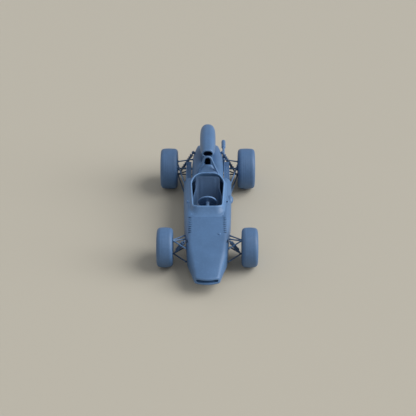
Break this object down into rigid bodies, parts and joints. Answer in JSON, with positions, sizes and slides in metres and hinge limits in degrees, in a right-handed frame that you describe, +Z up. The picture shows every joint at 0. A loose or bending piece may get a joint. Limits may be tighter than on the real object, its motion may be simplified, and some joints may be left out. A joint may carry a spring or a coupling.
{
  "type": "resin model of an open wheel racing car",
  "caption": "Small resin model of a single-seat open wheel racing car with a wedge nose, open cockpit, tall air box and freely turning wheels.",
  "frame": {"origin": "on the ground, under the middle of the car's length and width", "axes": "+X to the car's left, +Y rearwards, +Z up; the nose points to -Y"},
  "size_m": [0.0398, 0.09, 0.0266],
  "materials": {
    "body_resin": "satin, blue-grey",
    "fine_resin": "satin, blue-grey",
    "tyre_resin": "satin, blue-grey"
  },
  "bodies": {
    "chassis": {"air_box": "body_resin", "cockpit_surround": "body_resin", "dash": "fine_resin", "drive_shaft_left": "fine_resin", "drive_shaft_right": "fine_resin", "engine_block": "fine_resin", "engine_cover": "body_resin", "exhaust": "fine_resin", "filler_cap": "body_resin", "front_damper_left": "fine_resin", "front_damper_right": "fine_resin", "front_lower_arm_left": "fine_resin", "front_lower_arm_right": "fine_resin", "front_tie_rod_left": "fine_resin", "front_tie_rod_right": "fine_resin", "front_upper_arm_left": "fine_resin", "front_upper_arm_right": "fine_resin", "front_upright_left": "fine_resin", "front_upright_right": "fine_resin", "gearbox": "fine_resin", "headrest": "body_resin", "nose_cover": "body_resin", "rear_damper_left": "fine_resin", "rear_damper_right": "fine_resin", "rear_lower_arm_left": "fine_resin", "rear_lower_arm_right": "fine_resin", "rear_lower_rod_left": "fine_resin", "rear_lower_rod_right": "fine_resin", "rear_upper_link_left": "fine_resin", "rear_upper_link_right": "fine_resin", "rear_upper_rod_left": "fine_resin", "rear_upper_rod_right": "fine_resin", "rear_upright_left": "fine_resin", "rear_upright_right": "fine_resin", "roll_hoop": "fine_resin", "seat": "fine_resin", "side_cooler_left": "fine_resin", "side_cooler_right": "fine_resin", "steering_wheel": "fine_resin", "tub": "body_resin", "windscreen": "body_resin"},
    "wheel_front_left": {"rim_front_left": "fine_resin", "tyre_front_left": "tyre_resin"},
    "wheel_front_right": {"rim_front_right": "fine_resin", "tyre_front_right": "tyre_resin"},
    "wheel_rear_left": {"rim_rear_left": "fine_resin", "tyre_rear_left": "tyre_resin"},
    "wheel_rear_right": {"rim_rear_right": "fine_resin", "tyre_rear_right": "tyre_resin"}
  },
  "joints": [
    {"name": "wheel_front_left_spin", "type": "hinge", "parent": "chassis", "child": "wheel_front_left", "pos_m": [0.0163, -0.0258, 0.0077], "axis": [1, 0, 0], "continuous": true},
    {"name": "wheel_front_right_spin", "type": "hinge", "parent": "chassis", "child": "wheel_front_right", "pos_m": [-0.0163, -0.0258, 0.0077], "axis": [1, 0, 0], "continuous": true},
    {"name": "wheel_rear_left_spin", "type": "hinge", "parent": "chassis", "child": "wheel_rear_left", "pos_m": [0.0163, 0.028, 0.00855], "axis": [1, 0, 0], "continuous": true},
    {"name": "wheel_rear_right_spin", "type": "hinge", "parent": "chassis", "child": "wheel_rear_right", "pos_m": [-0.0163, 0.028, 0.00855], "axis": [1, 0, 0], "continuous": true}
  ]
}
